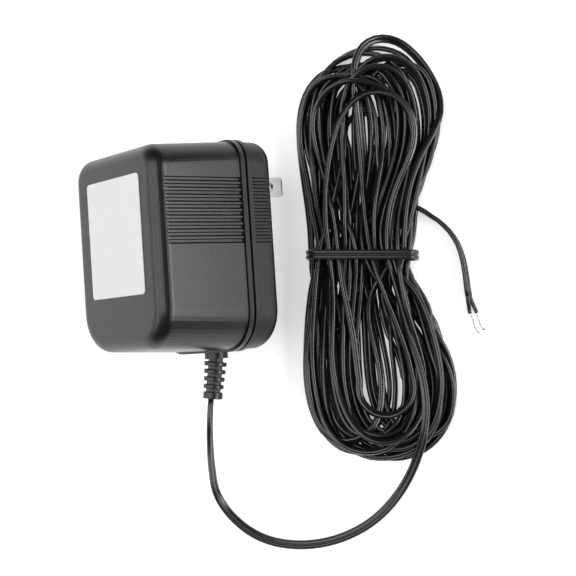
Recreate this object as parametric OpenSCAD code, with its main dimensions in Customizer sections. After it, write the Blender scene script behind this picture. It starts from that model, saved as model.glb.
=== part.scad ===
// Plug-in AC transformer with a flat twin cord folded into a tied hank.
// The housing is drawn upright in its own frame (x across, y up, z out of the label)
// and then laid down on the table, where it rests on a cover edge and one blade tip.

/* [Housing] */
// Width across the two ribbed sides, at the seam
housing_w = 51.7; // [49:0.1:58]
// Height from the cord side to the top, at the seam
housing_h = 65.5; // [62:0.5:74]
// Depth of the front shell, from the seam to the label face
front_depth = 33.3; // [32:0.1:40]
// Depth of the rear cover, from the seam to the wall face
cover_depth = 10.55; // [10.5:0.05:15]
// Wall thickness of both halves
wall = 2.5; // [2:0.1:2.8]
// How far the two ribbed sides lean in on their way to the label face
draft = 0.9; // [0.3:0.1:1.2]
// How far the top and the bottom lean in on the same way
end_draft = 1.55; // [0.3:0.05:2]
// Corner radius at the two top corners
top_corner_r = 7.5; // [6:0.1:9]
// Corner radius at the two bottom corners
bottom_corner_r = 12.5; // [10:0.5:14]
// Rounding between the sides and the label face
front_round = 4.5; // [3.5:0.1:5]
// Rounding between the sides and the wall face
back_round = 4; // [3.5:0.1:4.5]

/* [Seam] */
// Width of the raised lip on the front shell
front_lip_w = 1.6; // [1.5:0.1:3]
// Width of the raised lip on the rear cover
cover_lip_w = 1.6; // [1:0.1:2]
// How far both lips stand out of the sides
lip_proud = 0.6; // [0.3:0.1:0.8]
// Width of the dark groove between the lips
seam_gap = 0.8; // [0.4:0.1:0.8]
// Depth of that groove below the sides
seam_gap_depth = 1.1; // [0.6:0.1:1.3]
// Height of the rib on the cover that locates the front shell
locating_rib_h = 2; // [1:0.5:3]
// Thickness of the locating rib
locating_rib_t = 1.2; // [1:0.1:1.5]

/* [Grips] */
// Number of grooves on each side
groove_count = 10; // [8:1:11]
// Distance from groove to groove
groove_pitch = 2.11; // [2:0.01:2.2]
// Distance from the top of the housing to the first groove
groove_drop = 12.9; // [11.5:0.05:15]
// Width of a groove at the surface
groove_w = 1.45; // [1.2:0.05:1.5]
// Width of a groove at its floor
groove_floor_w = 0.7; // [0.4:0.05:0.7]
// Width that its sloping lower wall takes up
groove_slope_w = 0.5; // [0.2:0.05:0.5]
// Depth of a groove
groove_depth = 0.6; // [0.4:0.05:0.8]

/* [Label] */
// Width of the label
label_w = 31.8; // [28:0.1:38]
// Height of the label
label_h = 36.8; // [32:0.2:42]
// Height of the label's middle above the middle of the housing
label_y = 4.3; // [2:0.1:6]
// How far the label is stuck on off the middle of the face
label_x = 0.3; // [-1:0.1:1]
// Corner radius of the label
label_r = 1.3; // [0.8:0.1:3]
// Thickness of the label
label_t = 0.2; // [0.15:0.05:0.3]

/* [Blades] */
// Width of a blade
blade_w = 6.35; // [6.1:0.05:6.5]
// Thickness of a blade
blade_t = 1.52; // [1.4:0.02:1.65]
// Distance between the middles of the two blades
blade_pitch = 12.7; // [12.5:0.1:13]
// Length of a blade outside the wall face
blade_len = 17.5; // [16:0.1:18.2]
// Distance from the top of the housing to the middle of the blades
blade_drop = 12.45; // [11.5:0.05:14]
// Radius of the hole in each blade
blade_hole_r = 1.5875; // [1.5:0.0125:1.65]
// Distance from the wall face to the middle of the hole
blade_hole_out = 11.9; // [11:0.1:12.5]
// Corner radius at the tip of a blade
blade_tip_r = 1.2; // [0.8:0.1:1.8]
// Chamfer on the two flats of the tip
blade_tip_chamfer = 0.35; // [0.2:0.05:0.5]
// Play between a blade and its slot, on each side
blade_play = 0.05; // [0.02:0.01:0.1]
// How much wider the shoulder inside the cover is than the blade
shoulder_extra = 2.2; // [1.5:0.1:3]
// Height of the shoulder inside the cover
shoulder_h = 2.4; // [1.5:0.1:3]
// Width of the solder tab
tab_w = 4; // [3:0.1:5]
// Length of the solder tab
tab_len = 3.6; // [3:0.1:4]

/* [Transformer] */
// Room between the core and the two side walls
core_side_gap = 3.5; // [3:0.1:4]
// Room between the core and the walls above and below it, on average
core_end_gap = 6.25; // [6:0.25:7]
// How much the core sits above the middle of that room
core_y = -1; // [-2:0.5:0]
// Room between the bobbin and the floor of the cover
bobbin_back_gap = 0.5; // [0.3:0.1:1]
// Room between the bobbin and the front wall
bobbin_front_gap = 2.5; // [2.3:0.1:3]
// Wall of the bobbin's tube and flanges
bobbin_wall = 1; // [0.8:0.1:1.2]
// Play between the bobbin and the core
bobbin_play = 0.3; // [0.2:0.05:0.4]
// How far the windings stand past the stack at the front and the back
winding_overhang = 8; // [7.5:0.1:8.2]
// How far the windings stay below the bobbin's flanges
winding_below = 1.2; // [1:0.1:1.5]
// Thickness of the wrap of tape on each winding
tape_t = 0.3; // [0.2:0.05:0.4]
// Width of a terminal pin
pin_w = 0.8; // [0.6:0.1:1]
// Length of a terminal pin above its ledge
pin_len = 4.2; // [3:0.1:4.5]
// Distance between the two pins of a ledge
pin_pitch = 16; // [12:1:18]
// Radius of the thermal cut-out
cutout_r = 1.2; // [1:0.1:1.4]
// Length of the thermal cut-out's body
cutout_len = 9; // [7:0.5:11]
// Radius of the posts that hold the core
post_r = 2.3; // [2:0.1:2.5]

/* [Strain relief] */
// Depth of its middle in front of the seam
relief_z = -1.8; // [-2:0.1:-0.6]
// Radius of its neck in the seam
neck_r = 2.8; // [2.6:0.1:3]
// Radius of its collar and of its first ring
collar_r = 3.8; // [3.6:0.1:4]
// Height of the collar
collar_h = 2.55; // [1.6:0.05:3]
// Radius of its last ring
last_ring_r = 3.2; // [3:0.1:3.4]
// Number of rings after the collar, the last one longer
ring_count = 5; // [4:1:6]
// Height of a ring
ring_h = 1.35; // [1.1:0.05:1.5]
// Gap between rings
ring_gap = 1.1; // [0.9:0.05:1.3]
// Height of the last ring
last_ring_h = 2.2; // [2:0.1:3]
// Radius of the core inside the rings
relief_core_r = 1.85; // [1.8:0.05:2.2]
// Width of the web that joins the rings, from rib to rib
relief_web_w = 5.2; // [4.8:0.1:5.6]
// Thickness of that web
relief_web_t = 2.2; // [1.8:0.1:2.6]
// Sideways lean of the strain relief, pulled by the cord
relief_lean = 8.5; // [0:0.5:9]
// Thickness of the flange that is trapped inside the housing
inner_flange_h = 1.5; // [1.2:0.1:1.6]
// Radius of that flange
inner_flange_r = 4.2; // [3.8:0.1:4.5]

/* [Cord] */
// Width of the flat twin cord
cord_w = 3.3; // [3:0.1:3.6]
// Thickness of the flat twin cord
cord_t = 1.65; // [1.5:0.05:1.8]
// Thickness of the hank as it lies
hank_t = 12; // [10:0.5:15]
// Thickness of the tie round the hank
tie_t = 1; // [0.8:0.1:1.4]
// Width of the tie round the hank
tie_w = 3.2; // [2.6:0.1:4]
// Radius of the stripped and tinned strands
strand_r = 0.4; // [0.3:0.05:0.5]
// Radius of the insulated leads inside the housing
lead_r = 0.8; // [0.6:0.05:0.85]

/* [Hidden] */

// Segments of a full circle on the housing's rounded corners, and on their edge rounding
corner_fn = 56;
round_fn = 40;
// Overlap that keeps a cut clear of the surface it starts from
cut = 1;
// Sides of a swept cord or lead
tube_sides = 8;
// Gap between the trapped flange and the drafted wall, and between a lead's end and its terminal
seat_gap = 0.15;
touch = 0.02;

front_w = housing_w - 2 * draft;
front_h = housing_h - 2 * end_draft;
draft_angle = atan(draft / (front_depth - front_round));
cavity_front = front_depth - wall;
cavity_back = -(cover_depth - wall);
wall_z = -cover_depth;

groove_top_y = housing_h / 2 - groove_drop;
// How far the grooves run into the rounding at the label face
groove_run_out = 0.3;
blade_y = housing_h / 2 - blade_drop;

// The core and the bobbin fill the housing up to the rooms left round them. The outer legs
// are half as wide as the middle leg, and the windows are as wide as an outer leg
core_w = housing_w - 2 * (wall + core_side_gap);
core_l = housing_h - 2 * (wall + core_end_gap);
leg = core_l / 6;
window_l = core_w - 2 * leg;
flange_back = cavity_back + bobbin_back_gap;
flange_front = cavity_front - bobbin_front_gap;
flange_half_z = (flange_front - flange_back) / 2;
core_z = (flange_front + flange_back) / 2;
stack = 2 * (flange_half_z - winding_overhang);
core_front = core_z + stack / 2;
core_back = core_z - stack / 2;
core_top = core_y + core_l / 2;
core_bottom = core_y - core_l / 2;
flange_half_y = leg + leg - bobbin_play;
tube_half_y = leg + bobbin_play + bobbin_wall;
tube_half_z = stack / 2 + bobbin_play + bobbin_wall;
bobbin_half_x = window_l / 2 - bobbin_play;
chamber = bobbin_half_x - 1.5 * bobbin_wall;
winding_half_y = flange_half_y - winding_below;
winding_half_z = flange_half_z - winding_below;
winding_r = 4;
ledge_out = 6;
ledge_t = 3;
ledge_x = bobbin_half_x + ledge_out / 2;
ledge_z = core_front + bobbin_play;
pin_z = ledge_z + ledge_t + pin_len;
pin_y = pin_pitch / 2;
post_x = core_w / 2 - post_r;
post_y = core_l / 2 - post_r - 1;

// The housing leans until the rounded edge of the cover and the tip of a blade touch the table
edge_x = -(housing_w / 2 - back_round);
edge_z = -(cover_depth - back_round);
tip_x = -(blade_pitch / 2 + blade_t / 2 - blade_tip_chamfer);
tip_z = wall_z - blade_len;
edge_to_tip = norm([tip_x - edge_x, tip_z - edge_z]);
lay_angle = -(atan2(tip_z - edge_z, tip_x - edge_x) + asin(back_round / edge_to_tip));
axis_height = -(edge_x * sin(lay_angle) + edge_z * cos(lay_angle)) + back_round;
// Furthest reach of the laid housing to the left and to the right of its axis
reach_left = (front_w / 2 - front_round) * cos(lay_angle)
    + (front_depth - front_round) * sin(lay_angle) + front_round;
reach_right = -tip_x * cos(lay_angle) - tip_z * sin(lay_angle);
axis_x = (reach_left - reach_right) / 2;
table_up = [sin(lay_angle), 0, cos(lay_angle)];

// The strain relief: its foot on the housing and the point where the cord leaves it
relief_foot = -housing_h / 2;
relief_out = collar_h + (ring_count - 1) * (ring_h + ring_gap) + ring_gap + last_ring_h;
relief_pivot = collar_h / 2;
// How far to the left of the last ring's middle the cord leaves
exit_shift = 0.5;
foot_world = [axis_x - relief_z * sin(lay_angle), relief_foot, axis_height + relief_z * cos(lay_angle)];
cord_exit = foot_world + [
    -(relief_out - relief_pivot) * sin(relief_lean) - exit_shift,
    -relief_pivot - (relief_out - relief_pivot) * cos(relief_lean),
    0
];

// Route of the cord from the strain relief to the hank, on the table
run_start = cord_exit + 3 * [-sin(relief_lean), -cos(relief_lean), 0];
run_route = concat([cord_exit, run_start], [
    [5, -56.5, 23.2], [4.2, -62, 20.3], [3.2, -68, 15.2], [2.4, -73.5, 9.6],
    [2, -78.5, 5], [3, -83.5, 2.2], [6, -88.5, 1.1], [11.5, -94, 1], [18.5, -98, 1],
    [27, -100, 1], [36, -100, 1], [45, -98, 1], [53.5, -94, 1], [60.5, -88.5, 1],
    [66, -81.5, 1.8], [69.1, -76, 3.2]
]);
// Route of the tail from the side of the hank to the place where its halves part
tail_route = [
    [77.8, 8.3, 4], [82, 6.5, 2.6], [86, 3, 1.4], [89, -2, 1], [90.5, -7.5, 1],
    [91, -13, 1], [91.5, -18, 1], [92.5, -22.5, 1]
];
// The two halves of the tail, parted, and the stripped strands at their ends
left_half = [[91.5, -22.8, 1], [91.6, -25, 0.9], [92, -27.5, 0.9]];
right_half = [[93.4, -22.6, 1], [93.9, -25, 0.9], [94.4, -27.5, 0.9]];
left_strand = [[92.1, -27.7, 0.7], [93, -30, 0.6], [94.2, -33, 0.5]];
right_strand = [[94.5, -27.7, 0.7], [95.3, -29.8, 0.6], [96.2, -31.8, 0.5]];

// Lobes and waist of the hank
hank_top = [[64, 50], 20];
hank_crown = [[66.5, 56.5], 13.5];
hank_bottom = [[61, -50], 25.3];
hank_foot = [[64, -58.5], 17];
hank_waist = [57.3, -4.2];
waist_w = 35;
waist_turn = -4;

// The four corners of a housing outline, each [x, y, radius]
function corners(w, h, rt, rb) = [
    [w / 2 - rt, h / 2 - rt, rt], [-(w / 2 - rt), h / 2 - rt, rt],
    [-(w / 2 - rb), -(h / 2 - rb), rb], [w / 2 - rb, -(h / 2 - rb), rb]
];

function unit(v) = v / norm(v);
function along(p, i) = unit(p[min(i + 1, len(p) - 1)] - p[max(i - 1, 0)]);
// Points of one ring of a swept tube: flat across, thin upwards
function ring(p, i, w, t) = let (
    d = along(p, i),
    ref = abs(d.z) > 0.95 ? [0, 1, 0] : [0, 0, 1],
    side = unit(cross(d, ref)),
    up = cross(side, d)
) [for (k = [0 : tube_sides - 1])
    p[i] + side * (w / 2 * cos(360 * (k + 0.5) / tube_sides))
         + up * (t / 2 * sin(360 * (k + 0.5) / tube_sides))];

// A closed tube of oval section along a list of points
module sweep_tube(p, w, t) {
    n = len(p);
    points = [for (i = [0 : n - 1]) each ring(p, i, w, t)];
    sides = [for (i = [0 : n - 2]) for (k = [0 : tube_sides - 1])
        let (a = i * tube_sides + k, b = i * tube_sides + (k + 1) % tube_sides)
        [a, b, b + tube_sides, a + tube_sides]];
    start = [for (k = [0 : tube_sides - 1]) tube_sides - 1 - k];
    end = [for (k = [0 : tube_sides - 1]) (n - 1) * tube_sides + k];
    polyhedron(points, concat([start], sides, [end]), convexity = 6);
}

// Rounded rectangle, with its own radius at the top and at the bottom
module outline(w, h, rt, rb) {
    polygon([
        [w / 2 - rt, h / 2], [-(w / 2 - rt), h / 2], [-w / 2, h / 2 - rt], [-w / 2, -(h / 2 - rb)],
        [-(w / 2 - rb), -h / 2], [w / 2 - rb, -h / 2], [w / 2, -(h / 2 - rb)], [w / 2, h / 2 - rt]
    ]);
    for (c = corners(w, h, rt, rb)) translate([c[0], c[1]]) circle(r = c[2], $fn = corner_fn);
}

// Outline of the housing at the seam, grown or shrunk all round
module housing_outline(grow) {
    outline(housing_w + 2 * grow, housing_h + 2 * grow, top_corner_r + grow, bottom_corner_r + grow);
}

// Lays what is drawn in the housing's own frame down on the table
module lay() {
    translate([axis_x, 0, axis_height]) rotate([0, -lay_angle, 0]) children();
}

// A disc with its upper rim rounded
module button(r, round_r) {
    rotate_extrude($fn = corner_fn) {
        square([r - round_r, round_r]);
        translate([r - round_r, 0]) intersection() {
            circle(r = round_r, $fn = round_fn);
            square(round_r);
        }
    }
}

// The drafted, round-edged body of the front shell, shrunk by inset for its cavity
module front_body(inset) {
    foot = 0.5;
    round_r = max(front_round - inset, 1);
    top_z = front_depth - inset - round_r;
    hull() {
        for (c = corners(housing_w - 2 * inset, housing_h - 2 * inset,
                top_corner_r - inset, bottom_corner_r - inset))
            translate([c[0], c[1], 0]) cylinder(r = c[2], h = foot, $fn = corner_fn);
        for (c = corners(front_w - 2 * inset, front_h - 2 * inset,
                top_corner_r - inset, bottom_corner_r - inset))
            translate([c[0], c[1], top_z]) button(c[2], round_r);
    }
}

// Grooves of one grip, cut into a side that starts at x = 0 and runs along z, with a round far end.
// The upper wall is steep and the lower one slopes, both on to a little outside the side
module grooves(length) {
    steep_w = groove_w - groove_floor_w - groove_slope_w;
    middle = (groove_w + (steep_w - groove_slope_w) / 2) / 2;
    out = [cut, middle + cut * steep_w / groove_depth, middle - groove_w - cut * groove_slope_w / groove_depth];
    low = [-groove_depth, middle - steep_w, middle - steep_w - groove_floor_w];
    for (i = [0 : groove_count - 1])
        translate([0, groove_top_y - i * groove_pitch, 0]) {
            linear_extrude(length) polygon([[out.x, out.y], [low.x, low.y], [low.x, low.z], [out.x, out.z]]);
            translate([-groove_depth, 0, length]) rotate([0, 90, 0])
                cylinder(r1 = groove_floor_w / 2, r2 = groove_w - groove_floor_w / 2, h = 2 * groove_depth, $fn = 24);
        }
}

// A bore along y at the strain relief's place
module relief_bore(r, from_y, length) {
    translate([0, from_y, relief_z]) rotate([90, 0, 0]) cylinder(r = r, h = length, $fn = 64);
}

// Room for the strain relief in both halves: its neck in the wall, its collar in the lips
module relief_seat() {
    relief_bore(neck_r + 0.1, relief_foot + wall + locating_rib_t + cut, wall + locating_rib_t + 2 * cut);
    relief_bore(collar_r + 0.15, relief_foot, lip_proud + cut);
    relief_bore(inner_flange_r + 0.15, relief_foot + wall + locating_rib_t + cut, locating_rib_t + cut);
}

module front_shell() {
    lip_z = seam_gap;
    color([0.09, 0.09, 0.095]) lay() difference() {
        union() {
            difference() {
                front_body(0);
                translate([0, 0, -cut]) linear_extrude(cut + seam_gap) difference() {
                    housing_outline(cut);
                    housing_outline(-seam_gap_depth);
                }
                for (side = [0, 1]) mirror([side, 0, 0])
                    translate([housing_w / 2, 0, 0]) rotate([0, -draft_angle, 0])
                        translate([0, 0, lip_z + front_lip_w / 2])
                            grooves(front_depth - front_round - lip_z - front_lip_w / 2 + groove_run_out);
            }
            translate([0, 0, lip_z]) linear_extrude(front_lip_w) housing_outline(lip_proud);
        }
        difference() {
            translate([0, 0, -0.01]) front_body(wall);
            for (x = [-post_x, post_x], y = [-post_y, post_y])
                translate([x, core_y + y, core_front]) cylinder(r = post_r, h = front_depth, $fn = 32);
        }
        relief_seat();
    }
}

// The cover's pan: straight sides with a rounded rim towards the wall
module cover_body() {
    sizes = corners(housing_w, housing_h, top_corner_r, bottom_corner_r);
    flat_z = cover_depth - back_round;
    mirror([0, 0, 1]) {
        linear_extrude(flat_z) housing_outline(0);
        translate([0, 0, flat_z]) {
            translate([0, 0, -cut]) linear_extrude(back_round + cut) housing_outline(-back_round);
            for (c = sizes) translate([c[0], c[1], 0]) button(c[2], back_round);
            for (side = [0, 1]) mirror([side, 0, 0])
                translate([sizes[3][0] + sizes[3][2] - back_round, sizes[3][1], 0]) rotate([-90, 0, 0])
                    quarter_rod(sizes[0][1] - sizes[3][1]);
            translate([sizes[1][0], sizes[1][1] + sizes[1][2] - back_round, 0]) rotate([90, 0, 90])
                quarter_rod(sizes[0][0] - sizes[1][0]);
            mirror([0, 1, 0])
                translate([sizes[2][0], -sizes[2][1] + sizes[2][2] - back_round, 0]) rotate([90, 0, 90])
                    quarter_rod(sizes[3][0] - sizes[2][0]);
        }
    }
}

// Half of a rod, rooted in the pan, which rounds one straight stretch of the cover's rim
module quarter_rod(length) {
    linear_extrude(length) intersection() {
        circle(r = back_round, $fn = round_fn);
        translate([-cut, -back_round]) square([back_round + cut, 2 * back_round]);
    }
}

module rear_cover() {
    color([0.085, 0.085, 0.09]) lay() difference() {
        union() {
            difference() {
                cover_body();
                for (side = [0, 1]) mirror([side, 0, 0])
                    translate([housing_w / 2, 0, -cover_depth - cut])
                        grooves(cover_depth + cut - cover_lip_w + 0.2);
                translate([0, 0, cavity_back]) linear_extrude(cover_depth)
                    housing_outline(-wall);
            }
            translate([0, 0, -cover_lip_w]) linear_extrude(cover_lip_w) difference() {
                housing_outline(lip_proud);
                housing_outline(-wall);
            }
            // Rib that locates the front shell
            translate([0, 0, cavity_back - cut]) linear_extrude(locating_rib_h - cavity_back + cut) difference() {
                housing_outline(-wall - 0.2);
                housing_outline(-wall - 0.2 - locating_rib_t);
            }
            // Posts that carry the core, and the block that holds the blades
            for (x = [-post_x, post_x], y = [-post_y, post_y])
                translate([x, core_y + y, cavity_back - cut])
                    cylinder(r = post_r, h = core_back - cavity_back + cut, $fn = 32);
        }
        for (x = [-1, 1]) translate([x * blade_pitch / 2, blade_y, wall_z - cut])
            linear_extrude(cover_depth) square([blade_t + 2 * blade_play, blade_w + 2 * blade_play], center = true);
        relief_seat();
    }
}

module label() {
    color([0.93, 0.93, 0.93]) lay() translate([label_x, label_y, front_depth])
        linear_extrude(label_t) outline(label_w, label_h, label_r, label_r);
}

// One blade, seen across its width: chamfered tip, hole, shoulder and solder tab
module blade(side) {
    shoulder_w = blade_w + shoulder_extra;
    inside = wall + shoulder_h;
    lay() translate([side * blade_pitch / 2, blade_y, 0]) difference() {
        intersection() {
            translate([-blade_t / 2, 0, 0]) rotate([90, 0, 90]) linear_extrude(blade_t) {
                translate([0, wall_z - blade_len / 2 + inside / 2])
                    outline_blade(blade_w, blade_len + inside);
                translate([-shoulder_w / 2, cavity_back]) square([shoulder_w, shoulder_h]);
                translate([-tab_w / 2, cavity_back]) square([tab_w, shoulder_h + tab_len]);
            }
            translate([0, shoulder_w, 0]) rotate([90, 0, 0]) linear_extrude(2 * shoulder_w) polygon([
                [-blade_t / 2 + blade_tip_chamfer, tip_z], [blade_t / 2 - blade_tip_chamfer, tip_z],
                [blade_t / 2, tip_z + 2 * blade_tip_chamfer], [blade_t / 2, cover_depth],
                [-blade_t / 2, cover_depth], [-blade_t / 2, tip_z + 2 * blade_tip_chamfer]
            ]);
        }
        translate([-blade_t, 0, wall_z - blade_hole_out]) rotate([0, 90, 0])
            cylinder(r = blade_hole_r, h = 2 * blade_t, $fn = 48);
        translate([-blade_t, 0, cavity_back + shoulder_h + tab_len * 0.62]) rotate([0, 90, 0])
            cylinder(r = 0.7, h = 2 * blade_t, $fn = 32);
    }
}

// Flat of a blade with the two corners of its tip rounded
module outline_blade(w, length) {
    translate([-w / 2, -length / 2 + blade_tip_r]) square([w, length - blade_tip_r]);
    translate([-w / 2 + blade_tip_r, -length / 2]) square([w - 2 * blade_tip_r, blade_tip_r]);
    for (x = [-1, 1]) translate([x * (w / 2 - blade_tip_r), -length / 2 + blade_tip_r])
        circle(r = blade_tip_r, $fn = 32);
}

module blade_left() { color([0.78, 0.78, 0.79]) blade(-1); }
module blade_right() { color([0.78, 0.78, 0.79]) blade(1); }

// Radius of ring i of the strain relief
function ring_r(i) = collar_r + (last_ring_r - collar_r) * i / ring_count;
// Distance of ring i from the housing
function ring_at(i) = collar_h + ring_gap + (i - 1) * (ring_h + ring_gap);

module strain_relief() {
    rim = 0.25;
    color([0.08, 0.08, 0.085]) lay() translate([0, relief_foot, relief_z]) rotate([90, 0, 0]) {
        // Trapped flange, neck and collar stay square to the housing
        translate([0, 0, -wall - inner_flange_h]) cylinder(r = inner_flange_r, h = inner_flange_h - seat_gap, $fn = 64);
        translate([0, 0, -wall - 0.5]) cylinder(r = neck_r, h = wall + 1, $fn = 64);
        cylinder(r = collar_r, h = collar_h, $fn = 64);
        // Rings, core and the web between them lean with the cord
        translate([0, 0, relief_pivot]) rotate(a = -relief_lean, v = [sin(lay_angle), cos(lay_angle), 0])
            translate([0, 0, -relief_pivot]) {
                translate([0, 0, relief_pivot])
                    cylinder(r = relief_core_r, h = relief_out - relief_pivot - 0.1, $fn = 64);
                for (i = [1 : ring_count]) translate([0, 0, ring_at(i)])
                    rounded_ring(ring_r(i), i == ring_count ? last_ring_h : ring_h, rim);
                translate([-relief_web_w / 2, -relief_web_t / 2, relief_pivot])
                    cube([relief_web_w, relief_web_t, relief_out - relief_pivot - 0.5]);
            }
    }
}

// A ring with both rims rounded
module rounded_ring(r, h, rim) {
    rotate_extrude($fn = 64) {
        square([r - rim, h]);
        translate([0, rim]) square([r, h - 2 * rim]);
        for (y = [rim, h - rim]) translate([r - rim, y]) circle(r = rim, $fn = 16);
    }
}

// Prism along x through the core: y from the middle of the core, z over the stack
module core_block(x0, x1, y0, y1) {
    translate([x0, core_y + y0, core_back]) cube([x1 - x0, y1 - y0, stack]);
}

module core_e() {
    color([0.35, 0.35, 0.37]) lay() {
        core_block(-core_w / 2, -core_w / 2 + leg, -core_l / 2, core_l / 2);
        for (y = [-core_l / 2, core_l / 2 - leg])
            core_block(-core_w / 2, core_w / 2 - leg, y, y + leg);
        core_block(-core_w / 2, core_w / 2 - leg, -leg, leg);
    }
}

module core_i() {
    color([0.38, 0.38, 0.4]) lay()
        core_block(core_w / 2 - leg, core_w / 2, -core_l / 2, core_l / 2);
}

// A rectangular sleeve round the middle leg, from x0 to x1
module sleeve(x0, x1, out_y, out_z, out_r, in_y, in_z, in_r) {
    translate([x0, core_y, core_z]) rotate([90, 0, 90]) linear_extrude(x1 - x0) difference() {
        outline(2 * out_y, 2 * out_z, out_r, out_r);
        outline(2 * in_y, 2 * in_z, in_r, in_r);
    }
}

module bobbin() {
    in_y = leg + bobbin_play;
    in_z = stack / 2 + bobbin_play;
    in_r = 0.2;
    color([0.86, 0.84, 0.78]) lay() {
        sleeve(-bobbin_half_x, bobbin_half_x, tube_half_y, tube_half_z, 1, in_y, in_z, in_r);
        for (x = [-bobbin_half_x, -bobbin_wall / 2, bobbin_half_x - bobbin_wall])
            sleeve(x, x + bobbin_wall, flange_half_y, flange_half_z, 1.5, in_y, in_z, in_r);
        // Ledges that carry the terminal pins over the core
        for (side = [0, 1]) mirror([side, 0, 0]) difference() {
            translate([bobbin_half_x - bobbin_wall / 2, core_y - pin_y - 2.5, ledge_z])
                cube([ledge_out + bobbin_wall / 2, pin_pitch + 5, ledge_t]);
            for (y = [-pin_y, pin_y]) translate([ledge_x, core_y + y, ledge_z + ledge_t / 2 + cut])
                cube([pin_w, pin_w, ledge_t + 2 * cut - 0.001], center = true);
        }
    }
}

module terminal_pins() {
    color([0.8, 0.8, 0.78]) lay() for (side = [-1, 1], y = [-pin_y, pin_y])
        translate([side * ledge_x - pin_w / 2, core_y + y - pin_w / 2, ledge_z + ledge_t / 2 - cut / 2])
            cube([pin_w, pin_w, pin_z - ledge_z - ledge_t / 2 + cut / 2]);
}

// The windings fill one chamber of the bobbin each
module winding(side) {
    x0 = side < 0 ? -bobbin_wall / 2 - chamber : bobbin_wall / 2;
    sleeve(x0, x0 + chamber, winding_half_y, winding_half_z, winding_r, tube_half_y, tube_half_z, 1);
}

module tape(side) {
    x0 = side < 0 ? -bobbin_wall / 2 - chamber : bobbin_wall / 2;
    sleeve(x0, x0 + chamber, winding_half_y + tape_t, winding_half_z + tape_t, winding_r + tape_t,
        winding_half_y, winding_half_z, winding_r);
}

module primary_winding() { color([0.62, 0.3, 0.14]) lay() winding(-1); }
module secondary_winding() { color([0.72, 0.38, 0.18]) lay() winding(1); }
module primary_tape() { color([0.85, 0.75, 0.2]) lay() tape(-1); }
module secondary_tape() { color([0.85, 0.75, 0.2]) lay() tape(1); }

module thermal_cutout() {
    stub = 3;
    color([0.85, 0.83, 0.78]) lay()
        translate([-bobbin_wall / 2 - chamber / 2, core_y, core_z + winding_half_z + tape_t + cutout_r])
            rotate([90, 0, 0]) {
                cylinder(r = cutout_r, h = cutout_len, center = true, $fn = 40);
                cylinder(r = 0.3, h = cutout_len + 2 * stub, center = true, $fn = 20);
            }
}

// Leads run over the top of the core, from the primary pins back to the blades' tabs
tab_edge = blade_y + tab_w / 2;
tab_z = cavity_back + shoulder_h + tab_len / 2 + 0.2;
blade_x = blade_pitch / 2;
// Heights of a lead above and below the core, and its depth under the front wall
over_y = core_top + 3.6;
under_y = core_bottom - 1.6;
front_z = cavity_front - lead_r - 0.3;
// Where a lead that comes from above meets its pin, and how deep
pin_top_y = core_y + pin_y + pin_w / 2 + touch;
pin_low_y = core_y - pin_y + pin_w / 2 + touch;
primary_z = pin_z - 1.2;
secondary_z = pin_z - 0.9;

function mix(a, b, t) = a + (b - a) * t;
// How far across a lead is, from its pin at t = 0 to its blade at t = 1
function left_x(t) = mix(-ledge_x, -blade_x, t);
function right_x(t) = mix(-ledge_x, blade_x, t);

left_lead_route = [
    [-ledge_x, pin_top_y, primary_z], [-ledge_x, pin_top_y + 1.5, primary_z],
    [left_x(0.06), mix(pin_top_y, core_top, 0.52), core_front + 7.2],
    [left_x(0.25), core_top - 3, core_front + 6.6], [left_x(0.44), core_top + 1, core_front + 3.5],
    [left_x(0.59), over_y, core_front - 2], [left_x(0.71), over_y, core_z + 1],
    [left_x(0.83), over_y, core_back + 4], [left_x(0.92), over_y - 0.6, core_back - 1],
    [-blade_x, tab_edge + 1.8, tab_z], [-blade_x, tab_edge + touch, tab_z]
];
right_lead_route = [
    [-ledge_x, pin_low_y, primary_z], [-ledge_x, pin_low_y + 1.4, primary_z],
    [-ledge_x, pin_low_y + 5.6, front_z - 0.6], [-ledge_x, pin_top_y - 1.4, front_z],
    [right_x(0.08), mix(pin_top_y, core_top, 0.36), front_z - 0.4],
    [right_x(0.32), core_top - 3, front_z - 1.9], [right_x(0.51), core_top + 1.5, core_front + 4],
    [right_x(0.65), over_y, core_front - 2], [right_x(0.79), over_y, core_z + 1],
    [right_x(0.91), over_y, core_back + 4], [right_x(0.97), over_y - 0.6, core_back - 1],
    [blade_x, tab_edge + 1.8, tab_z], [blade_x, tab_edge + touch, tab_z]
];
// Cord leads run under the core, from the strain relief to the secondary pins
relief_inside = relief_foot + wall + inner_flange_h;
cord_lead_x = 0.95;
cord_left_route = [
    [-cord_lead_x, relief_inside + touch, relief_z], [-cord_lead_x, relief_inside + 0.8, relief_z],
    [-0.04 * ledge_x, under_y, core_back + 1.6], [0.07 * ledge_x, under_y, core_back + 6],
    [0.34 * ledge_x, under_y, core_z + 3], [0.65 * ledge_x, under_y, core_front],
    [0.82 * ledge_x, under_y + 1, core_front + 4.5], [0.9 * ledge_x, core_bottom + 3, front_z - 1.6],
    [0.93 * ledge_x, core_bottom + 7.5, front_z - 0.6], [ledge_x, pin_low_y - 2.4, front_z],
    [ledge_x, pin_low_y + 3.6, front_z], [ledge_x, core_y + 2, front_z - 0.2],
    [ledge_x, pin_top_y - pin_w - 1.4, secondary_z],
    [ledge_x, pin_top_y - pin_w - 2 * touch, secondary_z]
];
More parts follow.
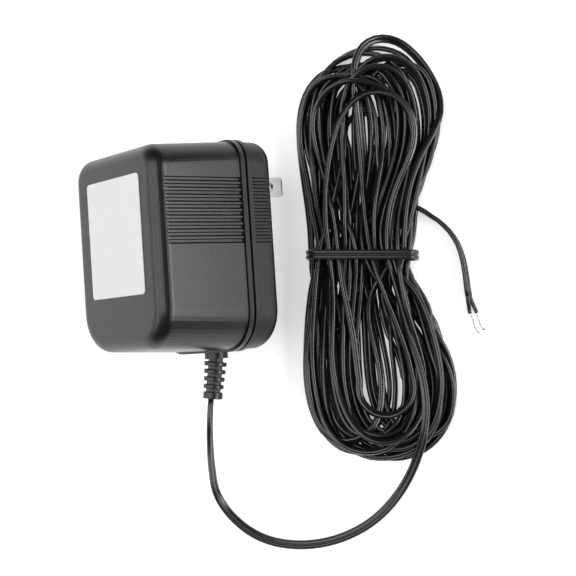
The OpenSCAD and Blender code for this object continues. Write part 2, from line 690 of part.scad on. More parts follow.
cord_right_route = [
    [cord_lead_x, relief_inside + touch, relief_z], [cord_lead_x, relief_inside + 0.8, relief_z],
    [0.1 * ledge_x, under_y, core_back + 1.6], [0.27 * ledge_x, under_y, core_back + 6],
    [0.58 * ledge_x, under_y, core_z + 3], [0.83 * ledge_x, under_y, core_front - 1],
    [0.9 * ledge_x, under_y + 1.4, core_front + 3], [0.91 * ledge_x, core_bottom + 3.5, core_front + 5.6],
    [0.93 * ledge_x, core_bottom + 8, core_front + 6.4], [ledge_x, pin_low_y - 4.4, core_front + 6.6],
    [ledge_x, pin_low_y - pin_w - 1.2, secondary_z],
    [ledge_x, pin_low_y - pin_w - 2 * touch, secondary_z]
];

module primary_lead_left() { color([0.75, 0.1, 0.08]) lay() sweep_tube(left_lead_route, 2 * lead_r, 2 * lead_r); }
module primary_lead_right() { color([0.75, 0.1, 0.08]) lay() sweep_tube(right_lead_route, 2 * lead_r, 2 * lead_r); }
module cord_lead_left() { color([0.07, 0.07, 0.07]) lay() sweep_tube(cord_left_route, 2 * lead_r, 2 * lead_r); }
module cord_lead_right() { color([0.07, 0.07, 0.07]) lay() sweep_tube(cord_right_route, 2 * lead_r, 2 * lead_r); }

module cord_run() { color([0.06, 0.06, 0.065]) sweep_tube(run_route, cord_w, cord_t); }

// Round-ended outline of the hank, waisted by its tie
module hank_outline() {
    for (end = [[hank_top, hank_crown], [hank_bottom, hank_foot]])
        hull() {
            for (lobe = end) translate(lobe[0]) circle(r = lobe[1], $fn = 64);
            translate(hank_waist) rotate(waist_turn) square([waist_w, tie_w], center = true);
        }
}

// The loop of the tie, with bore as its opening and thick as its wall
module tie_loop(thick) {
    translate([hank_waist[0], hank_waist[1], hank_t / 2]) rotate([90, 0, waist_turn])
        linear_extrude(tie_w, center = true) difference() {
            outline(waist_w + 2 * thick, hank_t, 3, 3);
            outline(waist_w - 0.02, hank_t - 2 * tie_t, 2.4, 2.4);
        }
}

module cord_hank() {
    color([0.06, 0.06, 0.065]) difference() {
        linear_extrude(hank_t) hank_outline();
        tie_loop(8);
    }
}

module cord_tie() { color([0.04, 0.04, 0.04]) tie_loop(tie_t); }
module cord_tail() { color([0.06, 0.06, 0.065]) sweep_tube(tail_route, cord_w, cord_t); }
module cord_end_left() { color([0.06, 0.06, 0.065]) sweep_tube(left_half, cord_t, cord_t); }
module cord_end_right() { color([0.06, 0.06, 0.065]) sweep_tube(right_half, cord_t, cord_t); }
module bare_end_left() { color([0.7, 0.68, 0.64]) sweep_tube(left_strand, 2 * strand_r, 2 * strand_r); }
module bare_end_right() { color([0.7, 0.68, 0.64]) sweep_tube(right_strand, 2 * strand_r, 2 * strand_r); }

front_shell();
rear_cover();
label();
blade_left();
blade_right();
strain_relief();
core_e();
core_i();
bobbin();
terminal_pins();
primary_winding();
secondary_winding();
primary_tape();
secondary_tape();
thermal_cutout();
primary_lead_left();
primary_lead_right();
cord_lead_left();
cord_lead_right();
cord_run();
cord_hank();
cord_tie();
cord_tail();
cord_end_left();
cord_end_right();
bare_end_left();
bare_end_right();
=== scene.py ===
import math

import bpy
import numpy as np
from mathutils import Matrix, Vector


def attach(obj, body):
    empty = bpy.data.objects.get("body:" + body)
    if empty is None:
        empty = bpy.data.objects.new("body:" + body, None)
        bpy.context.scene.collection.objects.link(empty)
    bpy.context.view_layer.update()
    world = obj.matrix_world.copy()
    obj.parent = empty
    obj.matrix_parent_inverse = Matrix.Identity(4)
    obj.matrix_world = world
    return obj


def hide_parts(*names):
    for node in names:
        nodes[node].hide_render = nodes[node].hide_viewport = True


# The looks of a plug-in AC transformer with its hank of cord. The housing, label, blades and strain relief
# are the CAD nodes. The cord, its parted ends and the tie are made here and replace their plain solids.

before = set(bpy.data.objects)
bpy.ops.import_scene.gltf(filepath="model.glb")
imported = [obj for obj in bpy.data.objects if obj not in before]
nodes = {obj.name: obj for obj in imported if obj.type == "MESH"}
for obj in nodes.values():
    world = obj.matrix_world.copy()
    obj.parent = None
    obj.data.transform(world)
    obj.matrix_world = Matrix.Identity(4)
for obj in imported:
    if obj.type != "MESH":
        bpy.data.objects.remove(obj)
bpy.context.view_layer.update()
scene = bpy.context.scene

# The camera, in metres and in the table's frame
CAM_PLACE = (0.08261, -0.03010, 0.45261)
CAM_RIGHT = (0.9911, -0.0651, -0.1159)
CAM_UP = (0.0689, 0.9972, 0.0295)
CAM_LENS, CAM_SENSOR, CAM_NEAR = 83.43, 36, 0.01


def camera():
    """An 83 mm lens almost straight above the table."""
    data = bpy.data.cameras.new("camera")
    cam = bpy.data.objects.new("camera", data)
    scene.collection.objects.link(cam)
    right = Vector(CAM_RIGHT).normalized()
    up = Vector(CAM_UP)
    up = (up - up.dot(right) * right).normalized()
    back = right.cross(up)
    cam.matrix_world = Matrix((*zip(right, up, back, CAM_PLACE), (0, 0, 0, 1)))
    data.sensor_width = CAM_SENSOR
    data.lens = CAM_LENS
    data.clip_start = CAM_NEAR
    scene.camera = cam
    scene.view_settings.view_transform = "Standard"


camera()

# The cord's way through the hank, in mm up to tube(), which writes metres
RNG = np.random.default_rng(26)
LOBE = 0.82         # radius of each half of the flat twin cord
TURNS = 24
TOP_TURNS = 4       # of these, the ones that TOP and the last strand draw
LAY_HIGH = 9.0      # height at which the highest of the other turns starts
LAY_DEPTH = 7.8     # and how far below it the lowest starts
NARROW = 23         # least width of a lobe, for the cord's bend
STEP = 1.5          # spacing of the points that are relaxed
MESH_STEP = 2.6     # spacing of the cord's rings in the mesh
GAP = 2.1           # distance kept between two strands, across
RISE = 0.72         # heights count this much in that distance
LEAST_BEND = 11     # radius of the line's bends that the relaxation aims at
TOP_Y = 48.8        # where the arc of a turn with no width would have its apex, in the upper lobe
TOP_GROW = 0.42     # and how much further it reaches for its width
LOW_Y = 58          # the same in the lower lobe, downwards
LOW_GROW = 0.36
ARC = 0.48          # height of an arc for its width, a little under a half circle
RUN_LENGTH = 122    # from the strain relief to the hank
TURN_LENGTH = 330
HANK_FROM = 125     # the tie and the floor act on the cord from here
HANK_TILL = 45      # to this far from its end
HOLD = 0.03         # how strongly a strand is drawn to the place it was laid at
HOLD_TOP = 0.06     # and the uppermost turns, which follow the photo
SINK = 0.03         # how far a strand sinks in each round
ROUNDS = 900        # of settling

# The tie's place, and the room that it leaves the strands
WAIST_Y = -4.2
WAIST_LEFT, WAIST_RIGHT = 57.1 - 17, 57.1 + 16.4
WAIST_TOP = 9.3
LEAST_Z = 1.5       # lowest middle of a strand while it settles
WAIST_LIFT = 1.0    # and how much higher it is over the tie's lower strand

# From the strain relief to the hank, and from the hank to where the cord parts
RUN = [(5.934, -48.242, 23.054), (5.491, -51.209, 23.054), (5, -56.5, 23.2), (4.2, -62, 20.3),
       (3.2, -68, 15.2), (2.4, -73.5, 9.6), (2, -78.5, 5), (3, -83.5, 2.2), (6, -88.5, 1.1),
       (11.5, -94, 1), (18.5, -98, 1), (27, -100, 1), (36, -100, 1), (45, -98, 1),
       (53.5, -94, 1), (60.5, -88.5, 1.2), (66, -81.5, 3.5), (69.1, -76, 8)]
TAIL = [(77.8, 8.3, 4), (82, 6.5, 2.6), (86, 3, 1.4), (89, -2, 1), (90.5, -7.5, 1),
        (91.1, -13, 1), (91.3, -17, 1), (91.6, -20.2, 1)]

# The way of the uppermost turns, read off the top of the hank, in travel order
TOP = [
    # the run lies over the lower right loops and goes up through the tie
    (71.6, -70, 12), (73.8, -63.5, 13), (74.9, -57, 13), (74.9, -48, 13), (73.2, -39, 12.5),
    (70.4, -29, 12), (68.4, -17, 11), (67.2, -4.2, 10), (67.4, 8, 11), (69.5, 18, 11.5),
    # the lower of the two arcs that lie on top
    (74.6, 25, 12), (77.5, 32, 12.5), (77.9, 38.5, 12.5), (75.4, 45, 12.5), (70.3, 49.6, 12.5),
    (64.7, 50.9, 12.5), (59.7, 49.3, 12.5), (54.4, 44.5, 12.5), (50.6, 35.6, 12), (47.4, 23.1, 11.5),
    (46.0, 9, 11), (46.3, -4.2, 10), (46.8, -16, 11), (46.0, -28.4, 12), (45.2, -36, 12),
    (45.6, -44, 12), (48.0, -54, 12), (52.0, -62.1, 12), (56.5, -66.2, 11.5), (61.5, -67.3, 11),
    (66.8, -65.6, 11), (71, -61.5, 11), (74.4, -55.6, 11), (75.4, -48.5, 11), (74.7, -41, 11),
    (72.0, -30.2, 11), (69.6, -17, 10.5), (68.9, -4.2, 9.5), (70.4, 9, 10.5), (73.6, 20, 11),
    # the arc to its left, which goes down beside it
    (76.5, 30, 10.5), (77, 39, 10), (73.5, 47, 10), (68.6, 50.8, 10.5), (63.9, 52.3, 11),
    (59.0, 54.2, 11.5), (52.8, 53.9, 11.5), (47.4, 50.7, 11.5), (44.4, 45.3, 11.5), (43.6, 37.9, 11.5),
    (46.0, 24.4, 11), (49.0, 9, 10), (49.3, -4.2, 9.5), (50.2, -16, 10), (52.6, -30, 10),
    (53.2, -42, 10), (54, -52, 10), (57.5, -59.5, 10), (62.5, -62.6, 9.5), (67.5, -59.5, 9.5),
    (70.5, -53, 9.5), (70.9, -43, 9.5), (67.5, -29, 10), (62.8, -15, 9.5), (60.4, -4.2, 9),
    (59.2, 8, 9.5), (58.8, 22, 10), (58.9, 38, 11), (58.9, 50, 11),
    # the loop that stands out at the top right
    (59.2, 60, 10), (61.9, 67.0, 8.5), (68.1, 70.3, 7), (74.2, 67.6, 6), (79.6, 61.8, 5),
    (83.8, 54.2, 5), (86.6, 46, 6), (86.6, 40.5, 7.5), (83.6, 35.0, 9), (79.6, 30.0, 10),
    (75.6, 20, 10), (72.3, 8, 9.5), (71.4, -4.2, 8.5),
]


def spline(points, step):
    """Catmull-Rom through the points, sampled evenly."""
    p = np.array(points, float)
    p = np.vstack([2 * p[0] - p[1], p, 2 * p[-1] - p[-2]])
    t = np.linspace(0, 1, 24, endpoint=False)[:, None]
    out = []
    for a, b, c, d in zip(p[:-3], p[1:-2], p[2:-1], p[3:]):
        out.append(0.5 * (2 * b + (c - a) * t + (2 * a - 5 * b + 4 * c - d) * t ** 2
                          + (3 * b - a - 3 * c + d) * t ** 3))
    out = np.vstack(out + [p[-2][None]])
    return even(out, step)


def even(p, step):
    """The same line with its points spaced evenly, about a step apart."""
    s = np.concatenate([[0], np.cumsum(np.linalg.norm(np.diff(p, axis=0), axis=1))])
    n = max(2, int(round(s[-1] / step)) + 1)
    q = np.linspace(0, s[-1], n)
    return np.stack([np.interp(q, s, p[:, k]) for k in range(3)], 1)


def turn(waist_r, waist_l, top_l, top_r, low_l, low_r, z):
    """Control points of one turn, from the tie up its right side and round to the tie again.

    Wide turns reach further than narrow ones, and the arcs at both ends are nearly half circles.
    """
    top_w, low_w = top_r - top_l, low_r - low_l
    top_x = (top_l + top_r) / 2 - 1.2 + 0.11 * top_w
    low_x = (low_l + low_r) / 2 + 0.5
    apex = TOP_Y + TOP_GROW * top_w + RNG.normal(0, 0.8)
    foot = -(LOW_Y + LOW_GROW * low_w) + RNG.normal(0, 0.6)
    cy = apex - ARC * top_w
    fy = foot + ARC * low_w
    return [
        (waist_r, WAIST_Y, z), (waist_r + 0.30 * (top_r - waist_r), 12, z),
        (waist_r + 0.76 * (top_r - waist_r), 26, z), (top_r, min(40, cy), z),
        (top_x + 0.72 * (top_r - top_x), cy + 0.70 * (apex - cy), z), (top_x, apex, z),
        (top_x + 0.72 * (top_l - top_x), cy + 0.70 * (apex - cy), z), (top_l, min(40, cy), z),
        (waist_l + 0.8 * (top_l - waist_l), 24, z), (waist_l + 0.45 * (top_l - waist_l), 11, z),
        (waist_l, WAIST_Y, z), (waist_l + 0.48 * (low_l - waist_l), -18, z),
        (waist_l + 0.9 * (low_l - waist_l), -32, z), (low_l, max(-46, fy), z),
        (low_x + 0.72 * (low_l - low_x), fy + 0.70 * (foot - fy), z), (low_x, foot, z),
        (low_x + 0.72 * (low_r - low_x), fy + 0.70 * (foot - fy), z), (low_r, max(-47, fy), z),
        (waist_r + 0.66 * (low_r - waist_r), -32, z), (waist_r + 0.25 * (low_r - waist_r), -17, z)]


def strata(n, low, high):
    """n values spread evenly over a range, in random order, mixed in three layers."""
    parts = np.array_split(np.arange(n), 3)
    return np.concatenate([RNG.permutation((np.arange(len(q)) + RNG.random()) / len(q)) for q in parts]) \
        * (high - low) + low


def legs(n, low, high, narrow, reach):
    """Left and right sides of n loops in a lobe: some narrow and anywhere in it, the rest wide."""
    a, b, span = strata(n, 0, 1), strata(n, 0, 1), high - low
    slim = (np.arange(n) * narrow) % 1 < narrow
    left = low + np.where(slim, a * (span - NARROW), reach * a * span)
    right = np.where(slim, left + NARROW * (1 + 0.1 * b), high - reach * b * span)
    return left, right


def waist(sides, low, high):
    """Places at the waist in about the order of the sides that the strands lead to."""
    order = np.argsort(np.argsort(sides + RNG.normal(0, 5, len(sides))))
    return low + (order + 0.5) / len(sides) * (high - low)


def layout():
    """Control points of the whole cord, before its strands are pushed apart."""
    pts = list(TOP)
    n = TURNS - TOP_TURNS
    top_l, top_r = legs(n, 38.4, 84.5, 0.55, 0.42)
    low_l, low_r = legs(n, 35, 86.5, 0.55, 0.36)
    waist_l, waist_r = waist(top_l + low_l, 40.4, 59), waist(top_r + low_r, 56, 74)
    for k in range(n):
        z = LAY_HIGH - LAY_DEPTH * k / (n - 1)
        pts += turn(waist_r[k], waist_l[k], top_l[k], top_r[k], low_l[k], low_r[k], z)[::-1]
    # the last strand goes round the lower lobe, comes up through the tie and bends out to the right
    pts += turn(70, 59.6, 40, 80, 46, 82, 2)[:10:-1]
    pts += [(59.6, WAIST_Y, 3.5), (58.8, 4.8, 3.5), (60.2, 11, 3.4), (64, 14.6, 3.2), (69, 14.0, 3.2),
            (73.6, 11.2, 3.4)]
    return RUN + pts + TAIL


def pairs(p, reach, skip):
    """Index pairs of points nearer than reach that are more than skip apart along the cord."""
    q = p * np.array([1, 1, RISE])
    cell = np.floor(q / reach).astype(np.int64)
    cell -= cell.min(0) - 1
    dim = cell.max(0) + 2
    key = (cell[:, 0] * dim[1] + cell[:, 1]) * dim[2] + cell[:, 2]
    order = np.argsort(key, kind="stable")
    skey = key[order]
    out_a, out_b = [], []
    idx = np.arange(len(p))
    for dx in (-1, 0, 1):
        for dy in (-1, 0, 1):
            for dz in (-1, 0, 1):
                if (dx, dy, dz) < (0, 0, 0):
                    continue
                k2 = key + (dx * dim[1] + dy) * dim[2] + dz
                lo = np.searchsorted(skey, k2, "left")
                hi = np.searchsorted(skey, k2, "right")
                cnt = hi - lo
                if not cnt.any():
                    continue
                a = np.repeat(idx, cnt)
                off = np.arange(cnt.sum()) - np.repeat(np.cumsum(cnt) - cnt, cnt)
                b = order[np.repeat(lo, cnt) + off]
                if (dx, dy, dz) == (0, 0, 0):
                    m = a < b
                    a, b = a[m], b[m]
                m = np.abs(a - b) > skip
                a, b = a[m], b[m]
                m = ((q[a] - q[b]) ** 2).sum(1) < reach ** 2
                out_a.append(a[m])
                out_b.append(b[m])
    return np.concatenate(out_a), np.concatenate(out_b)


def smooth(p, stride, k, w):
    """Takes kinks shorter than a few strides out of the line."""
    d = np.zeros_like(p)
    c = p[stride:-stride] - 0.5 * (p[:-2 * stride] + p[2 * stride:])
    d[stride:-stride] += c
    d[:-2 * stride] -= 0.5 * c
    d[2 * stride:] -= 0.5 * c
    return p - k * d * w


def limit_bend(p, stride, radius, w):
    """Opens the bends that are tighter than the radius."""
    c = p[stride:-stride] - 0.5 * (p[:-2 * stride] + p[2 * stride:])
    size = np.linalg.norm(c, axis=1)[:, None] + 1e-9
    c = c * np.clip(1 - (stride * STEP) ** 2 / (2 * radius) / size, 0, 1)
    d = np.zeros_like(p)
    d[stride:-stride] += 0.5 * c
    d[:-2 * stride] -= 0.25 * c
    d[2 * stride:] -= 0.25 * c
    return p - d * w


def respace(p, w):
    """Slides the points along the line to an even spacing."""
    t = p[2:] - p[:-2]
    t /= np.linalg.norm(t, axis=1)[:, None] + 1e-9
    mid = 0.5 * (p[2:] + p[:-2]) - p[1:-1]
    q = p.copy()
    q[1:-1] += w[1:-1] * t * (mid * t).sum(1)[:, None] * 0.7
    return q


def free_part(n):
    """How far each point may move: the run and the tail stay on their routes."""
    s = np.arange(n) * STEP
    return (np.clip((s - 100) / 30, 0, 1) * np.clip((s[-1] - s - 26) / 12, 0, 1))[:, None]


def relax(p, rounds):
    """Lets the strands settle: those too near push each other apart, all sink and keep an easy bend."""
    n = len(p)
    home = p.copy()
    s = np.arange(n) * STEP
    free = free_part(n)
    hold = np.full(n, HOLD)
    hold[:int(RUN_LENGTH / STEP) + int(3.35 * TURN_LENGTH / STEP)] = HOLD_TOP
    coiled = (s > HANK_FROM) & (s < s[-1] - HANK_TILL)
    scale = np.array([1, 1, RISE])
    for r in range(rounds):
        if r % 6 == 0:
            a, b = pairs(p, GAP * 1.35, int(2.2 * GAP / STEP) + 2)
        d = (p[a] - p[b]) * scale
        apart = np.sqrt((d ** 2).sum(1)) + 1e-9
        push = np.clip(GAP - apart, 0, None)
        m = push > 0
        v = d[m] / apart[m, None] * push[m, None] * 0.5 / scale
        aa, bb = a[m], b[m]
        acc = np.zeros_like(p)
        cnt = np.ones(n)
        for k in range(3):
            acc[:, k] += np.bincount(aa, v[:, k], n) - np.bincount(bb, v[:, k], n)
        cnt += 0.35 * (np.bincount(aa, minlength=n) + np.bincount(bb, minlength=n))
        p = p + free * acc / cnt[:, None] * 1.1
        p[:, 2] -= free[:, 0] * SINK
        pull = home - p
        p[:, :2] += free * hold[:, None] * pull[:, :2]
        p = smooth(p, 2, 0.12, free)
        p = smooth(p, 5, 0.10, free)
        for stride in (2, 4, 3):
            p = limit_bend(p, stride, LEAST_BEND, free)
            p = respace(p, free)
        # the tie squeezes the waist, and its lower strand lifts the cord there
        inside = (p[:, 0] > 30) & coiled
        near = np.exp(-((p[:, 1] - WAIST_Y) / 7.0) ** 2) * inside
        top = WAIST_TOP + 8 * (1 - near)
        low = LEAST_Z + WAIST_LIFT * np.exp(-((p[:, 1] - WAIST_Y) / 4.0) ** 2) * inside
        left = WAIST_LEFT - 12 * (1 - near)
        right = WAIST_RIGHT + 14 * (1 - near)
        p[:, 2] = np.where(free[:, 0] > 0, np.minimum(p[:, 2], np.where(inside, top, 30)), p[:, 2])
        p[:, 2] = np.where(free[:, 0] > 0, np.maximum(p[:, 2], low), p[:, 2])
        p[:, 0] = np.where(inside, np.clip(p[:, 0], left, right), p[:, 0])
    p = even(p, STEP)
    free = free_part(len(p))
    for r in range(320):
        p = respace(limit_bend(p, (2, 3, 4, 6)[r % 4], LEAST_BEND, free), free)
    return p


def section(n=24):
    """Outline of the flat twin cord in mm, wide along its second axis."""
    half = n // 2
    out = []
    for sign in (1, -1):
        for k in range(half):
            t = math.radians(-58 + 296 * k / (half - 1))
            out.append((sign * LOBE * math.cos(t), sign * (LOBE + LOBE * math.sin(t))))
    return np.array(out)


def circle(r, n, flute=0.0):
    """A round outline, with six shallow flutes where it stands for twisted strands."""
    a = np.arange(n) * 2 * math.pi / n
    r = r * (1 + flute * np.cos(6 * a))
    return np.stack([r * np.cos(a), r * np.sin(a)], 1)


def tube(name, path, sec, roll=0.0, loop_axis=None, taper=None):
    """A swept mesh: path in mm, sec in mm, roll in radians from standing on edge.

    With loop_axis the path is closed and the section's width lies along that axis.
    """
    path = np.asarray(path, float)
    n, m = len(path), len(sec)
    closed = loop_axis is not None
    if closed:
        d = np.roll(path, -1, 0) - np.roll(path, 1, 0)
        d /= np.linalg.norm(d, axis=1)[:, None]
        wide = np.tile(loop_axis, (n, 1))
        thin = np.cross(d, wide)
    else:
        d = np.gradient(path, axis=0)
        d /= np.linalg.norm(d, axis=1)[:, None]
        up = np.array([0, 0, 1.0]) - d * d[:, 2:3]
        up /= np.linalg.norm(up, axis=1)[:, None]
        side = np.cross(d, up)
        c, s = np.cos(roll)[..., None], np.sin(roll)[..., None]
        wide = up * c + side * s
        thin = side * c - up * s
    size = np.ones(n) if taper is None else taper
    across = thin[:, None] * sec[None, :, :1] + wide[:, None] * sec[None, :, 1:]
    v = path[:, None] + across * size[:, None, None]
    rings = n if closed else n - 1
    f = [(i * m + k, i * m + (k + 1) % m, (i + 1) % n * m + (k + 1) % m, (i + 1) % n * m + k)
         for i in range(rings) for k in range(m)]
    caps = 0
    if not closed:
        f += [tuple(range(m - 1, -1, -1)), tuple(range((n - 1) * m, n * m))]
        caps = 2
    mesh = bpy.data.meshes.new(name)
    mesh.from_pydata((v.reshape(-1, 3) / 1000).tolist(), [], f)
    mesh.polygons.foreach_set("use_smooth", [True] * (len(f) - caps) + [False] * caps)
    mesh.update()
    o = bpy.data.objects.new(name, mesh)
    scene.collection.objects.link(o)
    return o


def place(piece, look, replaced=()):
    """Gives a piece its material and body, and hides the CAD nodes that it stands for."""
    piece.data.materials.clear()
    piece.data.materials.append(look)
    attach(piece, "root")
    for node in replaced:
        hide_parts(node)


# Materials

def material(name, color, rough, ior=1.5, metallic=0.0):
    """A new material, its node tree and its main shader."""
    m = bpy.data.materials.new(name)
    m.use_nodes = True
    b = m.node_tree.nodes["Principled BSDF"]
    b.inputs["Base Color"].default_value = (*color, 1)
    b.inputs["Roughness"].default_value = rough
    b.inputs["IOR"].default_value = ior
    b.inputs["Metallic"].default_value = metallic
    return m, m.node_tree, b


def noise(tree, scale, detail=3.0):
    """The value of a noise texture, in the object's own metres."""
    coord = tree.nodes.new("ShaderNodeTexCoord")
    n = tree.nodes.new("ShaderNodeTexNoise")
    n.inputs["Scale"].default_value = scale
    n.inputs["Detail"].default_value = detail
    n.inputs["Roughness"].default_value = 0.5
    tree.links.new(coord.outputs["Object"], n.inputs["Vector"])
    return n.outputs["Fac"]


def bump(tree, bsdf, source, strength, distance):
    """Fine relief in the surface, from a value."""
    b = tree.nodes.new("ShaderNodeBump")
    b.inputs["Strength"].default_value = strength
    b.inputs["Distance"].default_value = distance
    tree.links.new(source, b.inputs["Height"])
    tree.links.new(b.outputs["Normal"], bsdf.inputs["Normal"])


def ranged(tree, source, low, high):
    """Spreads the middle of a noise value over a range."""
    r = tree.nodes.new("ShaderNodeMapRange")
    r.inputs["From Min"].default_value = 0.3
    r.inputs["From Max"].default_value = 0.7
    r.inputs["To Min"].default_value = low
    r.inputs["To Max"].default_value = high
    tree.links.new(source, r.inputs["Value"])
    return r.outputs["Result"]


def plastic(name, rough, grain, ior):
    """Moulded black plastic with a fine spark-eroded grain."""
    m, tree, b = material(name, (0.008, 0.008, 0.0085), rough, ior)
    bump(tree, b, noise(tree, 2200, 2.0), grain, 0.0002)
    tree.links.new(ranged(tree, noise(tree, 90, 4), rough - 0.03, rough + 0.03), b.inputs["Roughness"])
    return m


def uneven(name, color, rough, low, high, scale, ior=1.5, metallic=0.0):
    """A smooth surface whose roughness varies from place to place."""
    m, tree, b = material(name, color, rough, ior, metallic)
    tree.links.new(ranged(tree, noise(tree, scale, 3), low, high), b.inputs["Roughness"])
    return m


def paper(name, color, rough, ior):
    """Smooth label paper."""
    m, tree, b = material(name, color, rough, ior)
    bump(tree, b, noise(tree, 900, 2), 0.04, 0.0001)
    return m


shell_mat = plastic("black_plastic", 0.3, 0.2, 1.55)
cover_mat = plastic("black_plastic_cover", 0.36, 0.5, 1.47)
relief_mat = uneven("soft_plastic", (0.010, 0.010, 0.0105), 0.36, 0.32, 0.4, 300, 1.6)
cord_mat = uneven("cord_pvc", (0.011, 0.011, 0.0115), 0.26, 0.22, 0.3, 160, 1.68)
tie_mat = uneven("tie_plastic", (0.015, 0.015, 0.0155), 0.32, 0.28, 0.38, 400, 1.7)
label_mat = paper("label_paper", (0.92, 0.92, 0.92), 0.5, 1.45)
blade_mat = uneven("nickel", (0.50, 0.50, 0.495), 0.38, 0.34, 0.42, 400, metallic=1.0)
strand_mat = uneven("tinned_copper", (0.72, 0.70, 0.66), 0.3, 0.25, 0.4, 2000, metallic=1.0)


# The cord, swept along its way. It stands on edge at roll 0 and lies flat at a quarter turn.

line = even(relax(spline(layout(), STEP), ROUNDS), MESH_STEP)
length = float(np.linalg.norm(np.diff(line, axis=0), axis=1).sum())
s = np.linspace(0, length, len(line))
# in the hank it rolls gently to and fro, on the run it turns from upright to nearly flat, the tail leans
roll = 0.35 * np.sin(s / 47.0) + 0.3 * np.sin(s / 81.0 + 1)
inner = np.clip(np.minimum((s - 150) / 60, (length - s) / 40), 0, 1)
lead = np.interp(s, [0, 12, 60, 110, 180], [0, 0.1, 0.8, 1.1, 0.9])
roll = roll * inner + lead * (1 - inner) * (s < 400) + 0.5 * (1 - inner) * (s > 400)
# none of it goes below the table's top
line[:, 2] = np.maximum(line[:, 2], LOBE * (1.01 + abs(np.cos(roll))))
cord = tube("twin_cord", line, section(), roll)
place(cord, cord_mat, ("cord_run", "cord_hank", "cord_tail"))

# The parted halves at the far end, the upper one to the left, and the stripped strands in them
way = line[-1] - line[-2]
way /= np.linalg.norm(way)
lean = LOBE * (np.array([0, 0, math.cos(roll[-1])]) + math.sin(roll[-1]) * np.cross(way, (0, 0, 1)))
HALVES = (      # side, shift from the cord's middle, way of the half, way of its strands
    ("left", lean,
     [(91.3, -22.4, 1.8), (91.4, -23.6, 1.2), (91.48, -24.6, 0.85), (91.6, -25.95, 0.72)],
     [(91.6, -25.4, 0.74), (91.95, -26.4, 0.66), (92.45, -28.2, 0.45), (93.0, -30.4, 0.34),
      (93.6, -31.8, 0.32), (94.28, -32.78, 0.32)]),
    ("right", -lean,
     [(92.55, -22.2, 0.74), (92.95, -23.3, 0.72), (93.42, -24.5, 0.72), (93.9, -25.9, 0.72)],
     [(93.75, -25.4, 0.74), (94.1, -26.8, 0.62), (94.65, -28.9, 0.4), (95.15, -30.6, 0.34),
      (95.65, -31.5, 0.32), (96.2, -31.45, 0.32), (96.45, -30.9, 0.33)]))
HALF_R = LOBE - 0.06
HALF_FADE = 0.84    # a half's size at its cut end
STRAND_R, STRAND_FLUTE, STRAND_TWIST = 0.27, 0.12, 14
for side, shift, half, strand in HALVES:
    path = spline([line[-1] + shift - 0.6 * way, line[-1] + shift + 0.5 * way] + half, 0.4)
    fade = np.linspace(1.0, HALF_FADE, len(path))
    piece = tube("cord_half_" + side, path, circle(HALF_R, 20), taper=fade)
    place(piece, cord_mat, ("cord_end_" + side,))
    path = spline(strand, 0.12)
    twist = np.linspace(0, STRAND_TWIST, len(path))
    piece = tube("strand_" + side, path, circle(STRAND_R, 24, STRAND_FLUTE), twist)
    place(piece, strand_mat, ("bare_end_" + side,))

# The tie: a flat twin wire round the waist of the hank

def oblong(half_w, low, high, r, n):
    """Points round an upright rectangle with round corners, at the waist."""
    out = []
    for cx, cz, start in ((half_w - r, low + r, -90), (half_w - r, high - r, 0), (r - half_w, high - r, 90),
                          (r - half_w, low + r, 180)):
        for k in range(n):
            a = math.radians(start + 90 * k / (n - 1))
            out.append((cx + r * math.cos(a), cz + r * math.sin(a)))
    return np.array(out)


TIE_X, TIE_TURN = 57.3, math.radians(-4)
loop = oblong(half_w=18.2, low=0.75, high=12.1, r=3.2, n=9)
cos_t, sin_t = math.cos(TIE_TURN), math.sin(TIE_TURN)
ring = np.stack([TIE_X + loop[:, 0] * cos_t, WAIST_Y + loop[:, 0] * sin_t, loop[:, 1]], 1)
tie = tube("tie_wire", ring, section() * (0.8, 1.0), loop_axis=(-sin_t, cos_t, 0))
place(tie, tie_mat, ("cord_tie",))

# Materials of the CAD nodes that stay in view
for name, m in (("front_shell", shell_mat), ("rear_cover", cover_mat), ("label", label_mat),
                ("blade_left", blade_mat), ("blade_right", blade_mat), ("strain_relief", relief_mat)):
    nodes[name].data.materials.clear()
    nodes[name].data.materials.append(m)


# Floor and light

FLOOR_HALF = 4      # metres
FLOOR_WHITE = 0.88
FLOOR_GLOW = 0.5    # what the camera, reflections and glass see on top of the lit floor
LAMP_FAR = 1.3      # from the object to each lamp, in metres
LAMP_X = 0.03       # the point that they face
WORLD_GLOW = 0.06


def join(tree, operation, first, second):
    """A maths node on two values, the second of which may be a plain number."""
    n = tree.nodes.new("ShaderNodeMath")
    n.operation = operation
    tree.links.new(first, n.inputs[0])
    if isinstance(second, float):
        n.inputs[1].default_value = second
    else:
        tree.links.new(second, n.inputs[1])
    return n.outputs[0]


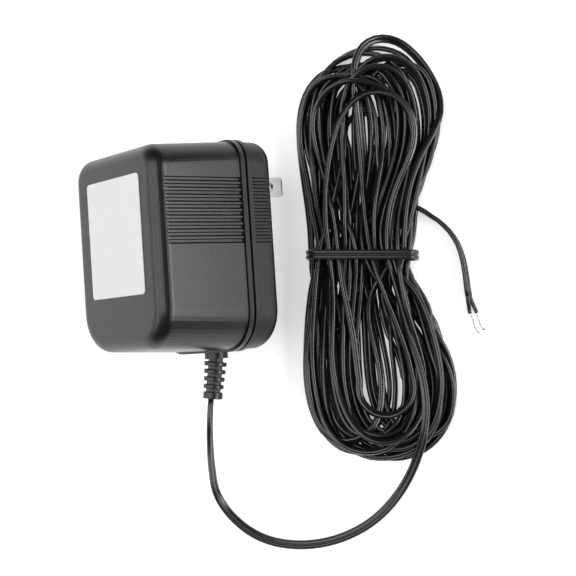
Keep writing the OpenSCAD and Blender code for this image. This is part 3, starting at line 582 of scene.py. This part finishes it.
def floor():
    """A white sheet that keeps the object's shadow."""
    h = FLOOR_HALF
    mesh = bpy.data.meshes.new("floor")
    mesh.from_pydata([(-h, -h, 0), (h, -h, 0), (h, h, 0), (-h, h, 0)], [], [(0, 1, 2, 3)])
    o = bpy.data.objects.new("floor", mesh)
    scene.collection.objects.link(o)
    m, tree, b = material("floor", (FLOOR_WHITE, FLOOR_WHITE, FLOOR_WHITE), 1)
    b.inputs["Specular IOR Level"].default_value = 0
    rays = tree.nodes.new("ShaderNodeLightPath").outputs
    seen = join(tree, "MAXIMUM", rays["Is Camera Ray"], rays["Is Glossy Ray"])
    seen = join(tree, "MAXIMUM", seen, rays["Is Transmission Ray"])
    b.inputs["Emission Color"].default_value = (1, 1, 1, 1)
    tree.links.new(join(tree, "MULTIPLY", seen, FLOOR_GLOW), b.inputs["Emission Strength"])
    mesh.materials.append(m)


def softbox(name, tilt, spread, along, length, radiance, glossy=True):
    """A rectangular lamp, tilt degrees from overhead, to the right when positive, spread degrees wide."""
    width = 2 * LAMP_FAR * math.tan(math.radians(spread / 2))
    data = bpy.data.lights.new(name, "AREA")
    data.shape = "RECTANGLE"
    data.size = width
    data.size_y = length
    data.energy = radiance * math.pi * length * width
    o = bpy.data.objects.new(name, data)
    scene.collection.objects.link(o)
    a = math.radians(tilt)
    o.location = (LAMP_X + LAMP_FAR * math.sin(a), along, LAMP_FAR * math.cos(a))
    o.rotation_euler = (0, a, 0)
    o.visible_glossy = glossy
    o.visible_camera = False


floor()
softbox("box_left", tilt=-61, spread=30, along=-0.05, length=1.0, radiance=2.3)
softbox("box_right", tilt=60, spread=18, along=-0.15, length=1.2, radiance=7.2)
softbox("box_above", tilt=-21, spread=44, along=0.15, length=0.9, radiance=2.3)
softbox("fill_above", tilt=5, spread=70, along=0, length=2.0, radiance=0.4, glossy=False)
world = bpy.data.worlds.new("world")
scene.world = world
world.use_nodes = True
background = world.node_tree.nodes["Background"].inputs
background["Color"].default_value = (1, 1, 1, 1)
background["Strength"].default_value = WORLD_GLOW
